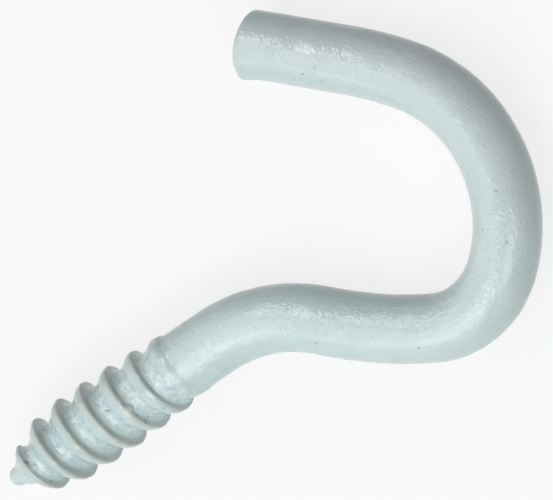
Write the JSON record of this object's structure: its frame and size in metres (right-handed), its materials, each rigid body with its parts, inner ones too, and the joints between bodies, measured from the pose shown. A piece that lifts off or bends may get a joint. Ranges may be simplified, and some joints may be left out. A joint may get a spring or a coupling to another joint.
{
  "type": "screw hook",
  "caption": "Round wire bent into an open hook, with a wood-screw thread on its straight end, painted white all over.",
  "frame": {"origin": "on the screw's axis, where the thread meets the plain wire", "axes": "+X along the screw's axis from its tip towards the hook, +Y towards the side that the arm ends on, +Z square to the flat plane that the wire is bent in; the hook lies flat"},
  "size_m": [0.0299, 0.0184, 0.0038],
  "materials": {
    "paint": "semi-gloss white paint, laid on thickly and a little lumpy"
  },
  "bodies": {
    "root": {"screw_hook": "paint"}
  },
  "joints": []
}
